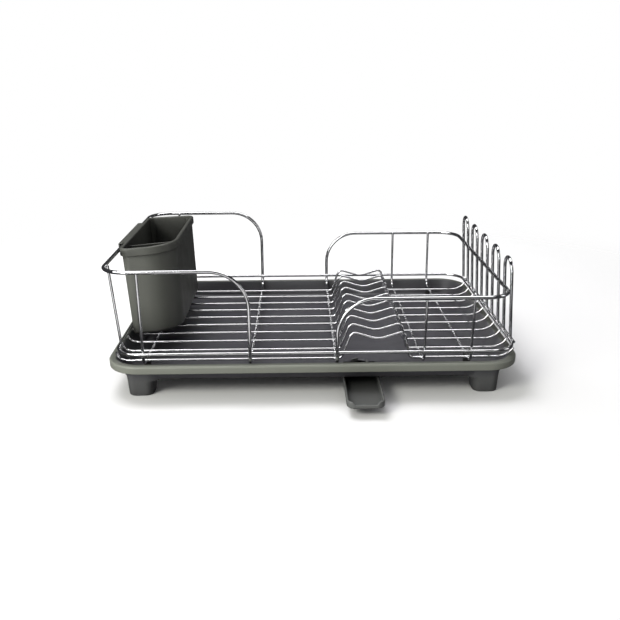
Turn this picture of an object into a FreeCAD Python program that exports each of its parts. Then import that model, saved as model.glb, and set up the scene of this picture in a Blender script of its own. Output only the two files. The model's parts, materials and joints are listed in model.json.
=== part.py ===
import FreeCAD, Part
import math
import os

import Sketcher

# A dish drying rack, in millimetres: a moulded drip tray with a swivelling spout, a rack
# welded from bent wire that stands in the tray, and a utensil cup that hangs on the rack.
#
# Every outline is drawn about the middle of the tray, with +X to the right, +Y to the rear
# and +Z up from the table. Each piece is then shifted in Y by half of what the spout stands
# out in front, so that the origin is under the middle of the whole object.

SIZES = [
    # The drip tray
    ("tray_length", 480.0),        # over the rim, along X
    ("tray_width", 354.0),         # over the rim, along Y
    ("tray_corner", 40.0),         # plan radius of the rim's corners
    ("rim_top", 41.5),             # table to the top of the rim
    ("rim_band", 9.5),             # height of the band round the rim
    ("rim_width", 8.0),            # width of the rim's top face
    ("rim_round", 1.5),            # round on the band's outer edges
    ("tray_wall", 2.5),            # thickness of the floor and of the band
    ("tray_floor", 21.0),          # table to the top of the floor
    ("skirt_inset_top", 10.0),     # from the band's face in to the skirt, under the rim
    ("skirt_inset_low", 16.0),     # the same at the bottom of the skirt
    ("skirt_bevel", 3.0),          # bevel round the bottom of the skirt and of the basin
    ("groove_width", 4.0),         # the hollow under the rim
    # The moulded feet under the tray
    ("foot_inset_x", 24.0),        # from the rim's end in to the foot, at the table
    ("foot_inset_y", 13.5),        # from the rim's front in to the foot, at the table
    ("foot_length", 29.0),
    ("foot_depth", 30.0),
    ("foot_round", 9.0),
    ("foot_draft", 4.0),           # degrees
    # The drain hole, and the spout that swivels in it
    ("drain_x", 56.0),             # from the middle of the tray
    ("drain_inset", 57.0),         # from the front of the rim back to the hole's middle
    ("drain_radius", 11.0),
    ("spout_reach", 50.0),         # how far the tip stands out past the rim
    ("spout_width", 42.0),
    ("spout_head_radius", 24.0),
    ("spout_low", 10.0),           # table to the underside of the spout
    ("spout_wall", 2.0),
    ("spout_lip", 2.5),            # height of the low lip at the tip
    ("spout_corner", 9.0),
    ("swivel_gap", 0.3),           # running clearance of the spout in and under the tray
    ("snap_wall", 2.0),
    ("snap_catch", 1.2),           # how far each snap leg hooks over the hole's edge
    ("snap_angle", 50.0),          # degrees of the collar that each leg takes
    # The wires of the rack
    ("hoop_wire", 4.4),
    ("ring_wire", 3.8),
    ("plate_wire", 3.0),
    ("cross_wire", 3.2),
    ("prong_wire", 3.8),
    ("rail_wire", 3.2),
    ("weld_bite", 0.2),            # how far crossing wires melt into each other
    ("stay_bite", 0.15),           # the same for the short end stays
    ("ring_height", 51.3),         # table to the middle of the ring's wire
    ("ring_inset_left", 11.3),     # from the tray's end to the ring's middle line
    ("ring_inset_right", 5.0),
    ("ring_inset_y", 13.5),
    ("ring_corner", 28.0),
    ("left_hoop_top", 150.0),
    ("left_hoop_inset", 3.0),      # from the tray's end to the hoop's end wire
    ("left_hoop_leg", 72.6),       # from the middle of the tray to the legs
    ("right_hoop_top", 117.0),
    ("right_hoop_inset", 14.5),
    ("right_hoop_leg", 27.0),
    ("hoop_shoulder", 44.0),       # bend where the rail turns down into a leg
    ("hoop_corner", 30.0),         # bend at each plan corner of the rail
    ("leg_bend", 14.0),            # bend at the foot of a leg
    ("cross_inset_left", 32.7),    # from the ring's left end in to the left cross wire
    ("cross_inset_right", 52.6),   # from the ring's right end in to the right one
    ("cross_gap", 15.9),           # from the wave's end to the middle cross wire
    ("cross_bend", 12.0),
    ("end_stay_inset", 27.0),      # from the ring's front or rear in to an end stay
    # The plate wires and their wave
    ("plate_drop", 12.3),          # from the ring's middle line down to the plate wires'
    ("plate_inset_front", 14.0),   # from the ring's front to the first plate wire
    ("plate_inset_rear", 40.5),    # from the ring's rear to the last one
    ("plate_end_left", 90.0),      # degrees, the slope at which a wire meets the ring
    ("plate_end_right", 60.0),     # the same at the right end
    ("wave_gap", 5.5),             # from the right hoop's legs to the start of the wave
    ("wave_width", 80.0),
    ("wave_ramp", 12.0),           # length of the rise to the left shoulder
    ("wave_drop", 6.0),            # length of the drop from the right shoulder
    ("wave_height", 32.5),         # of the left shoulder's corner, above the wire
    ("wave_trough", 23.0),         # height of the trough's corner
    ("wave_foot_bend", 6.0),
    ("wave_left_bend", 7.0),
    ("wave_trough_bend", 26.0),
    ("wave_right_bend", 6.0),
    # The prongs for cups and glasses
    ("prong_top", 148.5),          # table to the middle of the wire at a prong's top
    ("prong_width", 31.0),
    ("prong_lean", 5.0),           # how far a prong leans in over its height
    ("prong_inset_front", 54.0),   # from the ring's front to the first prong's middle
    ("prong_inset_rear", 35.0),    # from the ring's rear to the last one
    ("rail_gap", 0.1),             # between the ring and the rail beside it
    # The rubber feet of the rack
    ("pad_diameter", 9.0),
    ("pad_place", 24.0),           # from the ring's front or rear in to a rubber foot
    ("pad_slot", 2.4),
    ("rest_gap", 0.2),             # between what rests and what it rests on
    # The utensil cup
    ("cup_gap", 2.5),              # between the plate wires and the cup's floor
    ("cup_over_wire", 4.8),        # rim of the cup above the middle of the hoop's end wire
    ("cup_wall", 2.2),
    ("cup_inset", 2.75),           # from the hoop's end wire to the cup's wall
    ("cup_depth", 63.0),           # along X, at the top
    ("cup_inset_front", 85.5),     # from the ring's front in to the cup's front corner
    ("cup_inset_rear", 51.5),      # from the ring's rear in to the cup's rear wall
    ("cup_sweep", 7.0),            # how far the front wall slants back
    ("cup_front_bend", 42.0),      # the wide bend of the front wall into the side
    ("cup_bend", 9.0),             # the other corners
    ("cup_draft", 1.5),            # how much the walls draw in towards the bottom
    ("cup_lean_gap", 0.9),         # between the ring and the wall that leans on it
    ("cup_collar", 10.0),          # height of the collar at the top
    ("cup_collar_proud", 2.4),
    ("cup_bevel", 3.5),            # bevel round the bottom
    ("divider_inset", 41.0),       # from the cup's front corner back to the divider
    ("divider_sweep", 12.0),       # how far it slants back
    ("divider_drop", 6.0),         # how far the divider stays below the rim
    ("hook_width", 120.0),
    ("hook_wall", 2.0),
    ("hook_gap", 0.6),
    ("hook_drop", 9.0),            # how far the hook's lip hangs below its top
    ("cup_slot_length", 22.0),
    ("cup_slot_width", 4.0),
    ("cup_slot_inset", 22.0),      # from the cup's rear wall in to the first slot
    ("cup_slot_gap", 9.0),         # from the divider's right end back to the last slot
]

PLATE_WIRES = 10
PRONGS = 5
CUP_SLOTS = 6

doc = FreeCAD.newDocument("DishDryingRack")
sheet = doc.addObject("Spreadsheet::Sheet", "Sizes")
pieces = []


def fill_sheet():
    """One row per driving size: its name in column A, its value in column B."""
    for row, (alias, value) in enumerate(SIZES, start=1):
        sheet.set("A%d" % row, alias)
        sheet.set("B%d" % row, str(value))
        sheet.setAlias("B%d" % row, alias)
    doc.recompute()


def value(expression):
    """The number that an expression on the sheet comes to."""
    result = sheet.evalExpression(expression)
    return float(getattr(result, "Value", result))


# Lengths that several pieces share, as expressions on the sheet

TRAY_X = "(Sizes.tray_length / 2)"
TRAY_Y = "(Sizes.tray_width / 2)"
SHIFT_Y = "(Sizes.spout_reach / 2)"
FLOOR_UNDER = "(Sizes.tray_floor - Sizes.tray_wall)"
RIM_LOW = "(Sizes.rim_top - Sizes.rim_band)"
DRAIN_Y = "(Sizes.drain_inset - %s)" % TRAY_Y

RING_Y = "(%s - Sizes.ring_inset_y)" % TRAY_Y
RING_LEFT = "(Sizes.ring_inset_left - %s)" % TRAY_X
RING_RIGHT = "(%s - Sizes.ring_inset_right)" % TRAY_X

# The hoops' legs pass outside the ring and the cross wires rise inside it, each welded to it.
HOOP_Y = "(%s + (Sizes.ring_wire + Sizes.hoop_wire) / 2 - Sizes.weld_bite)" % RING_Y
CROSS_RING_Y = "(%s - (Sizes.ring_wire + Sizes.cross_wire) / 2 + Sizes.weld_bite)" % RING_Y
CROSS_TOP_Y = "(%s - (Sizes.hoop_wire + Sizes.cross_wire) / 2 + Sizes.weld_bite)" % HOOP_Y

# The plate wires hang from the ring, and lie on the cross runs of the hoops and cross wires.
PLATE_LEVEL = "(Sizes.ring_height - Sizes.plate_drop)"
RUN_TOP = "(%s - Sizes.plate_wire / 2 + Sizes.weld_bite)" % PLATE_LEVEL
HOOP_RUN = "(%s - Sizes.hoop_wire / 2)" % RUN_TOP
CROSS_RUN = "(%s - Sizes.cross_wire / 2)" % RUN_TOP

WAVE_START = "(Sizes.right_hoop_leg + Sizes.wave_gap)"
WAVE_END = "(%s + Sizes.wave_width)" % WAVE_START
CROSS_LEFT_X = "(%s + Sizes.cross_inset_left)" % RING_LEFT
CROSS_MIDDLE_X = "(%s + Sizes.cross_gap)" % WAVE_END
CROSS_RIGHT_X = "(%s - Sizes.cross_inset_right)" % RING_RIGHT

LEFT_HOOP_X = "(Sizes.left_hoop_inset - %s)" % TRAY_X
RIGHT_HOOP_X = "(%s - Sizes.right_hoop_inset)" % TRAY_X


# Helpers for bodies and sketches


def negative(expression):
    return "-(%s)" % expression


def evenly_spread(first, last, number, count):
    """Where one of a row of pieces goes between the places of the first and the last."""
    return "%s + (%s - %s) * %d / %d" % (first, last, first, number - 1, count - 1)


def new_body(name):
    """An empty body that will be written as the piece with this name."""
    body = doc.addObject("PartDesign::Body", name)
    body.Label = name
    pieces.append(body)
    return body


def place(body, x="0", y="0", z="0"):
    """Moves a body, with the shift that puts the origin under the whole object."""
    body.setExpression("Placement.Base.x", x)
    body.setExpression("Placement.Base.y", "%s + %s" % (y, SHIFT_Y))
    body.setExpression("Placement.Base.z", z)


def new_sketch(body, name, role, height=None):
    """A sketch on one of the body's origin planes, lifted off it by an expression."""
    planes = [plane for plane in body.Origin.OriginFeatures if plane.Role == role]
    sketch = body.newObject("Sketcher::SketchObject", name)
    sketch.AttachmentSupport = [(planes[0], "")]
    sketch.MapMode = "FlatFace"
    if height is not None:
        sketch.setExpression("AttachmentOffset.Base.z", height)
    return sketch


def dimension(sketch, kind, expression, *where):
    """A dimension of the sketch that is bound to an expression."""
    number = sketch.addConstraint(Sketcher.Constraint(kind, *where, value(expression)))
    sketch.setExpression("Constraints[%d]" % number, expression)


def pin_point(sketch, geometry, position, x, y):
    """Fixes one point of the sketch at x, y from its origin."""
    dimension(sketch, "DistanceX", x, -1, 1, geometry, position)
    dimension(sketch, "DistanceY", y, -1, 1, geometry, position)


def add_circle(sketch, x, y, radius):
    centre = FreeCAD.Vector(value(x), value(y), 0)
    circle = sketch.addGeometry(Part.Circle(centre, FreeCAD.Vector(0, 0, 1), value(radius)), False)
    pin_point(sketch, circle, 3, x, y)
    dimension(sketch, "Radius", radius, circle)


def bend_points(before, corner, after, radius):
    """Where a bend of this radius starts and ends at a corner, and the bend's centre."""
    towards = (before - corner).normalize()
    away = (after - corner).normalize()
    half_angle = towards.getAngle(away) / 2
    reach = radius / math.tan(half_angle)
    middle = (towards + away).normalize() * (radius / math.sin(half_angle))
    return corner + towards * reach, corner + away * reach, corner + middle


def add_outline(sketch, corners, closed=True):
    """Lines through the corners (x, y, bend radius or None), with an arc at each bend.

    Every corner is a point fixed by two dimensions, and the lines pass through them.
    """
    count = len(corners)
    points = [FreeCAD.Vector(value(x), value(y), 0) for x, y, radius in corners]
    starts = list(points)
    ends = list(points)
    arcs = {}
    for index, (x, y, radius) in enumerate(corners):
        if radius is None:
            continue
        before = points[index - 1]
        after = points[(index + 1) % count]
        ends[index], starts[index], centre = bend_points(before, points[index], after, value(radius))
        arcs[index] = (centre, (points[index] - before).cross(after - points[index]).z > 0)
    lines = {}
    for index in range(count if closed else count - 1):
        segment = Part.LineSegment(starts[index], ends[(index + 1) % count])
        lines[index] = sketch.addGeometry(segment, False)
    for index, (x, y, radius) in enumerate(corners):
        line_in = lines.get((index - 1) % count)
        line_out = lines.get(index)
        if index in arcs:
            centre, turns_left = arcs[index]
            first, last = (ends[index], starts[index]) if turns_left else (starts[index], ends[index])
            circle = Part.Circle(centre, FreeCAD.Vector(0, 0, 1), value(radius))
            angles = [math.atan2(p.y - centre.y, p.x - centre.x) for p in (first, last)]
            arc = sketch.addGeometry(Part.ArcOfCircle(circle, *angles), False)
            at_in, at_out = (1, 2) if turns_left else (2, 1)
            sketch.addConstraint(Sketcher.Constraint("Tangent", line_in, 2, arc, at_in))
            sketch.addConstraint(Sketcher.Constraint("Tangent", arc, at_out, line_out, 1))
            dimension(sketch, "Radius", radius, arc)
            corner = sketch.addGeometry(Part.Point(points[index]), True)
            pin_point(sketch, corner, 1, x, y)
            sketch.addConstraint(Sketcher.Constraint("PointOnObject", corner, 1, line_in))
            sketch.addConstraint(Sketcher.Constraint("PointOnObject", corner, 1, line_out))
        elif not closed and index == 0:
            pin_point(sketch, line_out, 1, x, y)
        elif not closed and index == count - 1:
            pin_point(sketch, line_in, 2, x, y)
        else:
            pin_point(sketch, line_in, 2, x, y)
            sketch.addConstraint(Sketcher.Constraint("Coincident", line_in, 2, line_out, 1))


def add_rounded_box(sketch, x_low, x_high, y_low, y_high, radius):
    corners = [(x_low, y_low, radius), (x_high, y_low, radius)]
    corners += [(x_high, y_high, radius), (x_low, y_high, radius)]
    add_outline(sketch, corners)


def check_sketch(sketch):
    if sketch.solve() != 0 or not sketch.FullyConstrained:
        raise RuntimeError("%s isn't fully dimensioned" % sketch.Name)


def pad(body, name, sketch, length, cut=False, backwards=False):
    """Adds the sketch's area over a length, or cuts it away and checks that it cut."""
    check_sketch(sketch)
    before = body.Shape.Volume if cut else 0
    feature = body.newObject("PartDesign::Pocket" if cut else "PartDesign::Pad", name)
    feature.Profile = sketch
    feature.setExpression("Length", length)
    feature.Reversed = backwards
    doc.recompute()
    if cut and not body.Shape.Volume < before:
        raise RuntimeError("%s cuts nothing" % name)
    return feature


def loft(body, name, outlines, cut=False):
    """Adds or cuts away the straight-sided shape through outlines at rising heights."""
    for outline in outlines:
        check_sketch(outline)
    kind = "PartDesign::SubtractiveLoft" if cut else "PartDesign::AdditiveLoft"
    feature = body.newObject(kind, name)
    feature.Profile = outlines[0]
    feature.Sections = outlines[1:]
    feature.Ruled = True
    doc.recompute()
    if not body.Shape.isValid():
        raise RuntimeError("%s isn't a valid solid" % name)


def round_edges(body, name, radius, wanted):
    """Rounds every edge of the body's tip for which wanted(edge) is true."""
    base = body.Tip
    names = ["Edge%d" % (i + 1) for i, edge in enumerate(base.Shape.Edges) if wanted(edge)]
    feature = body.newObject("PartDesign::Fillet", name)
    feature.Base = (base, names)
    feature.setExpression("Radius", radius)
    doc.recompute()
    return feature


def edge_is_level(edge, height):
    """True for an edge that lies flat at this height."""
    box = edge.BoundBox
    return abs(box.ZMin - height) < 0.01 and abs(box.ZMax - height) < 0.01


def bend_wire(body, path, diameter):
    """Sweeps a round section of this diameter along the path sketch."""
    check_sketch(path)
    doc.recompute()
    section = body.newObject("Sketcher::SketchObject", body.Name + "_section")
    section.AttachmentSupport = [(path, "Edge1")]
    section.MapMode = "NormalToEdge"
    section.MapPathParameter = 0
    add_circle(section, "0", "0", diameter + " / 2")
    doc.recompute()
    sweep = body.newObject("PartDesign::AdditivePipe", body.Name + "_wire")
    sweep.Profile = section
    sweep.Spine = (path, ["Edge%d" % (i + 1) for i in range(len(path.Shape.Edges))])
    doc.recompute()


# The drip tray


def tray_outline(body, name, height, inset):
    """The tray's plan at one height, drawn in from the rim by an inset."""
    sketch = new_sketch(body, name, "XY_Plane", height)
    x = "(%s - %s)" % (TRAY_X, inset)
    y = "(%s - %s)" % (TRAY_Y, inset)
    add_rounded_box(sketch, negative(x), x, negative(y), y, "Sizes.tray_corner - %s" % inset)
    return sketch


def foot_outlines(body, name, inset):
    """Four rounded boxes at the table, one per foot, drawn in by an inset."""
    sketch = new_sketch(body, name, "XY_Plane")
    far_x = "(%s - Sizes.foot_inset_x - %s)" % (TRAY_X, inset)
    near_x = "(%s - Sizes.foot_inset_x - Sizes.foot_length + %s)" % (TRAY_X, inset)
    far_y = "(%s - Sizes.foot_inset_y - %s)" % (TRAY_Y, inset)
    near_y = "(%s - Sizes.foot_inset_y - Sizes.foot_depth + %s)" % (TRAY_Y, inset)
    radius = "Sizes.foot_round - %s" % inset
    for x_low, x_high in ((near_x, far_x), (negative(far_x), negative(near_x))):
        for y_low, y_high in ((near_y, far_y), (negative(far_y), negative(near_y))):
            add_rounded_box(sketch, x_low, x_high, y_low, y_high, radius)
    return sketch


def make_tray():
    body = new_body("drip_tray")
    place(body)
    loft(body, "skirt", [
        tray_outline(body, "skirt_low", FLOOR_UNDER, "(Sizes.skirt_inset_low + Sizes.skirt_bevel)"),
        tray_outline(body, "skirt_bend", "%s + Sizes.skirt_bevel" % FLOOR_UNDER, "Sizes.skirt_inset_low"),
        tray_outline(body, "skirt_high", RIM_LOW, "Sizes.skirt_inset_top"),
    ])

    pad(body, "rim", tray_outline(body, "rim_plan", RIM_LOW, "0"), "Sizes.rim_band")
    round_edges(body, "rim_edges", "Sizes.rim_round", on_rim_outline)

    foot = pad(body, "feet", foot_outlines(body, "foot_plan", "0"), RIM_LOW)
    foot.setExpression("TaperAngle", "Sizes.foot_draft")
    doc.recompute()
    pad(body, "foot_cores", foot_outlines(body, "core_plan", "Sizes.tray_wall"),
        "%s - Sizes.tray_wall" % FLOOR_UNDER, cut=True, backwards=True)

    side = "(Sizes.skirt_inset_low + Sizes.tray_wall)"
    loft(body, "basin", [
        tray_outline(body, "basin_low", "Sizes.tray_floor", "(%s + Sizes.skirt_bevel)" % side),
        tray_outline(body, "basin_bend", "Sizes.tray_floor + Sizes.skirt_bevel", side),
        tray_outline(body, "basin_high", "Sizes.rim_top", "Sizes.rim_width"),
    ], cut=True)

    groove = new_sketch(body, "groove_plan", "XY_Plane", RIM_LOW)
    for inset in ("Sizes.tray_wall", "(Sizes.tray_wall + Sizes.groove_width)"):
        x = "(%s - %s)" % (TRAY_X, inset)
        y = "(%s - %s)" % (TRAY_Y, inset)
        add_rounded_box(groove, negative(x), x, negative(y), y, "Sizes.tray_corner - %s" % inset)
    pad(body, "rim_hollow", groove, "Sizes.rim_band - Sizes.tray_wall", cut=True, backwards=True)

    hole = new_sketch(body, "drain_plan", "XY_Plane", FLOOR_UNDER)
    add_circle(hole, "Sizes.drain_x", DRAIN_Y, "Sizes.drain_radius")
    pad(body, "drain_hole", hole, "Sizes.tray_wall", cut=True, backwards=True)


def on_rim_outline(edge):
    """True for an edge of the rim's outermost outline, at its top or its bottom."""
    middle = edge.valueAt((edge.FirstParameter + edge.LastParameter) / 2)
    radius = value("Sizes.tray_corner")
    x = max(abs(middle.x) - value(TRAY_X) + radius, 0)
    y = max(abs(middle.y) - value(TRAY_Y) + radius, 0)
    level = edge_is_level(edge, value(RIM_LOW)) or edge_is_level(edge, value("Sizes.rim_top"))
    return level and abs(math.hypot(x, y) - radius) < 0.1


# The spout, drawn about its pivot with the channel towards -Y

SPOUT_TIP = "-(Sizes.drain_inset + Sizes.spout_reach)"
SPOUT_TOP = "(%s - Sizes.swivel_gap)" % FLOOR_UNDER
SPOUT_BED = "(Sizes.spout_low + Sizes.spout_wall)"


def spout_channel(body, name, height, inset, tip):
    """The channel's plan, drawn in by an inset, from the tip back to the pivot."""
    sketch = new_sketch(body, name, "XY_Plane", height)
    x = "(Sizes.spout_width / 2 - %s)" % inset
    corner = "Sizes.spout_corner - %s" % inset
    corners = [(negative(x), tip, corner), (x, tip, corner), (x, "0", None), (negative(x), "0", None)]
    add_outline(sketch, corners)
    return sketch


def spout_head(body, name, height, inset):
    """The round head's plan about the pivot, drawn in by an inset."""
    sketch = new_sketch(body, name, "XY_Plane", height)
    add_circle(sketch, "0", "0", "Sizes.spout_head_radius - %s" % inset)
    return sketch


def make_spout():
    body = new_body("swivel_spout")
    place(body, "Sizes.drain_x", DRAIN_Y)
    depth = "%s - Sizes.spout_low" % SPOUT_TOP
    inner_depth = "%s - %s" % (SPOUT_TOP, SPOUT_BED)
    pad(body, "channel", spout_channel(body, "channel_plan", "Sizes.spout_low", "0", SPOUT_TIP), depth)
    pad(body, "head", spout_head(body, "head_plan", "Sizes.spout_low", "0"), depth)
    inner_tip = "%s + Sizes.spout_wall" % SPOUT_TIP
    pad(body, "channel_hollow",
        spout_channel(body, "hollow_plan", SPOUT_BED, "Sizes.spout_wall", inner_tip),
        inner_depth, cut=True, backwards=True)
    pad(body, "head_hollow", spout_head(body, "head_hollow_plan", SPOUT_BED, "Sizes.spout_wall"),
        inner_depth, cut=True, backwards=True)

    lip_level = "(%s + Sizes.spout_lip)" % SPOUT_BED
    mouth = new_sketch(body, "mouth_plan", "XY_Plane", lip_level)
    half = "(Sizes.spout_width / 2 - Sizes.spout_corner)"
    low = "%s - Sizes.spout_wall" % SPOUT_TIP
    high = "%s + Sizes.spout_wall * 2" % SPOUT_TIP
    corners = [(negative(half), low, None), (half, low, None)]
    add_outline(mouth, corners + [(half, high, None), (negative(half), high, None)])
    pad(body, "mouth", mouth, "%s - %s" % (SPOUT_TOP, lip_level), cut=True, backwards=True)
    make_snap_legs(body)


def make_snap_legs(body):
    """Three snap legs that rise through the drain hole and hook over its edge."""
    section = new_sketch(body, "snap_section", "XZ_Plane")
    outer = "(Sizes.drain_radius - Sizes.swivel_gap)"
    inner = "(%s - Sizes.snap_wall)" % outer
    catch = "(Sizes.drain_radius + Sizes.snap_catch)"
    bottom = "(Sizes.spout_low + Sizes.spout_wall / 2)"
    ledge = "(Sizes.tray_floor + Sizes.swivel_gap)"
    top = "(%s + Sizes.snap_wall)" % ledge
    corners = [(inner, bottom), (outer, bottom), (outer, ledge), (catch, ledge)]
    corners += [(outer, top), (inner, top)]
    add_outline(section, [(x, z, None) for x, z in corners])
    check_sketch(section)
    leg = body.newObject("PartDesign::Revolution", "snap_leg")
    leg.Profile = section
    leg.ReferenceAxis = (section, ["V_Axis"])
    leg.setExpression("Angle", "Sizes.snap_angle")
    leg.Midplane = True
    doc.recompute()
    legs = body.newObject("PartDesign::PolarPattern", "snap_legs")
    legs.Originals = [leg]
    axes = [axis for axis in body.Origin.OriginFeatures if axis.Role == "Z_Axis"]
    legs.Axis = (axes[0], [""])
    legs.Angle = 360
    legs.Occurrences = 3
    body.Tip = legs
    doc.recompute()


# The welded rack


def bent_pipe(points, radii, diameter):
    """A closed round wire through the points in space, bent to a radius at each."""
    count = len(points)
    bends = []
    for index, point in enumerate(points):
        before = points[index - 1]
        after = points[(index + 1) % count]
        start, end, centre = bend_points(before, point, after, radii[index])
        outwards = (point - centre).normalize()
        bends.append((start, centre + outwards * radii[index], end))
    edges = []
    for index, (start, middle, end) in enumerate(bends):
        edges.append(Part.Arc(start, middle, end).toShape())
        edges.append(Part.LineSegment(end, bends[(index + 1) % count][0]).toShape())
    begin = edges[-1].Vertexes[0].Point
    along = edges[-1].Vertexes[-1].Point - begin
    path = Part.Wire([edges[-1]] + edges[:-1])
    section = Part.Wire([Part.makeCircle(diameter / 2, begin, along)])
    return path.makePipeShell([section], True, True)


def make_hoop(name, end_x, leg_x, top):
    """A hoop: a guard rail round three sides, two legs, and a run under the plate wires."""
    low = value(HOOP_RUN)
    side = value(HOOP_Y)
    high = value(top)
    end = value(end_x)
    leg = value(leg_x)
    front = [(leg, -side, low), (leg, -side, high), (end, -side, high)]
    rear = [(end, side, high), (leg, side, high), (leg, side, low)]
    points = [FreeCAD.Vector(*point) for point in front + rear]
    foot, shoulder, corner = [value("Sizes." + alias) for alias in
                              ("leg_bend", "hoop_shoulder", "hoop_corner")]
    radii = [foot, shoulder, corner, corner, shoulder, foot]
    hoop = doc.addObject("Part::Feature", name)
    hoop.Label = name
    hoop.Shape = bent_pipe(points, radii, value("Sizes.hoop_wire"))
    hoop.Placement = FreeCAD.Placement(FreeCAD.Vector(0, value(SHIFT_Y), 0), FreeCAD.Rotation())
    pieces.append(hoop)


def make_ring():
    body = new_body("base_ring")
    place(body, z="Sizes.ring_height")
    path = new_sketch(body, "ring_path", "XY_Plane")
    add_rounded_box(path, RING_LEFT, RING_RIGHT, negative(RING_Y), RING_Y, "Sizes.ring_corner")
    bend_wire(body, path, "Sizes.ring_wire")


def make_plate_wire(number):
    """A long wire from end to end of the ring, with the plate wave right of the middle."""
    name = "plate_wire_%02d" % number
    body = new_body(name)
    first = "(Sizes.plate_inset_front - %s)" % RING_Y
    last = "(%s - Sizes.plate_inset_rear)" % RING_Y
    place(body, y=evenly_spread(first, last, number, PLATE_WIRES), z=PLATE_LEVEL)
    wave_middle = "(%s + Sizes.wave_width / 2 + Sizes.wave_drop / 2)" % WAVE_START
    left = plate_wire_end(RING_LEFT, 1, "Sizes.plate_end_left")
    right = plate_wire_end(RING_RIGHT, -1, "Sizes.plate_end_right")
    corners = [
        (left["straight"], "0", None),
        (WAVE_START, "0", "Sizes.wave_foot_bend"),
        (WAVE_START + " + Sizes.wave_ramp", "Sizes.wave_height", "Sizes.wave_left_bend"),
        (wave_middle, "Sizes.wave_trough", "Sizes.wave_trough_bend"),
        (WAVE_END + " - Sizes.wave_drop", "Sizes.wave_height", "Sizes.wave_right_bend"),
        (WAVE_END, "0", "Sizes.wave_foot_bend"),
        (right["straight"], "0", None),
    ]
    path = new_sketch(body, name + "_path", "XZ_Plane")
    add_outline(path, corners, closed=False)
    add_end_bend(path, left, (0, 1), (-math.pi / 2 - left["angle"], -math.pi / 2), 2)
    add_end_bend(path, right, (last_line(path), 2), (-math.pi / 2, right["angle"] - math.pi / 2), 1)
    bend_wire(body, path, "Sizes.plate_wire")


def plate_wire_end(ring_x, side, angle):
    """Sizes of the bend that brings a wire's end up to the ring at this angle."""
    reach = "(Sizes.ring_wire / 2 - Sizes.weld_bite)"
    rise = "(Sizes.plate_drop - %s * sin(%s * 1deg))" % (reach, angle)
    radius = "(%s / (1 - cos(%s * 1deg)))" % (rise, angle)
    run = "(%s * cos(%s * 1deg) + %s * sin(%s * 1deg))" % (reach, angle, radius, angle)
    straight = "(%s + %d * %s)" % (ring_x, side, run)
    return {"rise": rise, "radius": radius, "straight": straight, "angle": math.radians(value(angle))}


def last_line(path):
    """The number of the last straight line in the sketch."""
    lines = [n for n, shape in enumerate(path.Geometry) if shape.TypeId == "Part::GeomLineSegment"]
    return lines[-1]


def add_end_bend(path, end, line_point, angles, arc_point):
    """An arc from the straight wire's end up to the ring."""
    radius = value(end["radius"])
    centre = FreeCAD.Vector(value(end["straight"]), radius, 0)
    circle = Part.Circle(centre, FreeCAD.Vector(0, 0, 1), radius)
    arc = path.addGeometry(Part.ArcOfCircle(circle, *angles), False)
    path.addConstraint(Sketcher.Constraint("Tangent", line_point[0], line_point[1], arc, arc_point))
    dimension(path, "Radius", end["radius"], arc)
    dimension(path, "DistanceY", end["rise"], -1, 1, arc, 3 - arc_point)


def make_cross_wire(name, x, top):
    """A U-shaped wire across the rack, from a hoop's rail down, under the plates and up."""
    body = new_body(name)
    place(body, x)
    # The legs lean out, and touch the ring on their way up to the rail.
    share = "((Sizes.ring_height - %s) / (%s - %s))" % (CROSS_RUN, top, CROSS_RUN)
    low_y = "((%s - %s * %s) / (1 - %s))" % (CROSS_RING_Y, CROSS_TOP_Y, share, share)
    corners = [(negative(CROSS_TOP_Y), top, None),
               (negative(low_y), CROSS_RUN, "Sizes.cross_bend"),
               (low_y, CROSS_RUN, "Sizes.cross_bend"),
               (CROSS_TOP_Y, top, None)]
    path = new_sketch(body, name + "_path", "YZ_Plane")
    add_outline(path, corners, closed=False)
    bend_wire(body, path, "Sizes.cross_wire")


def make_end_stay(name, side):
    """A short stay inside the left end, from the hoop's end wire down to the ring."""
    body = new_body(name)
    place(body, y="%d * (%s - Sizes.end_stay_inset)" % (side, RING_Y))
    top_x = "(%s + (Sizes.hoop_wire + Sizes.cross_wire) / 2 - Sizes.stay_bite)" % LEFT_HOOP_X
    low_x = "(%s + (Sizes.ring_wire + Sizes.cross_wire) / 2 - Sizes.stay_bite)" % RING_LEFT
    low = "Sizes.ring_height - Sizes.ring_wire / 2"
    path = new_sketch(body, name + "_path", "XZ_Plane")
    add_outline(path, [(top_x, "Sizes.left_hoop_top", None), (low_x, low, None)], closed=False)
    bend_wire(body, path, "Sizes.cross_wire")


RAIL_X = "(%s + (Sizes.ring_wire + Sizes.rail_wire) / 2 + Sizes.rail_gap)" % RING_RIGHT
PRONG_X = "((%s + %s) / 2)" % (RING_RIGHT, RAIL_X)
# A prong ends in the valley between the ring and the rail, at the height of their tops.
PRONG_LOW = "(Sizes.ring_height + Sizes.ring_wire / 2 - Sizes.weld_bite)"
PRONG_FIRST = "(Sizes.prong_inset_front - %s)" % RING_Y
PRONG_LAST = "(%s - Sizes.prong_inset_rear)" % RING_Y


def make_prong_rail():
    """A straight rail along the outside of the ring's right end."""
    body = new_body("prong_rail")
    place(body, RAIL_X, z="Sizes.ring_height")
    end = "(%s - Sizes.ring_corner)" % RING_Y
    path = new_sketch(body, "rail_path", "YZ_Plane")
    add_outline(path, [(negative(end), "0", None), (end, "0", None)], closed=False)
    bend_wire(body, path, "Sizes.rail_wire")


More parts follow.
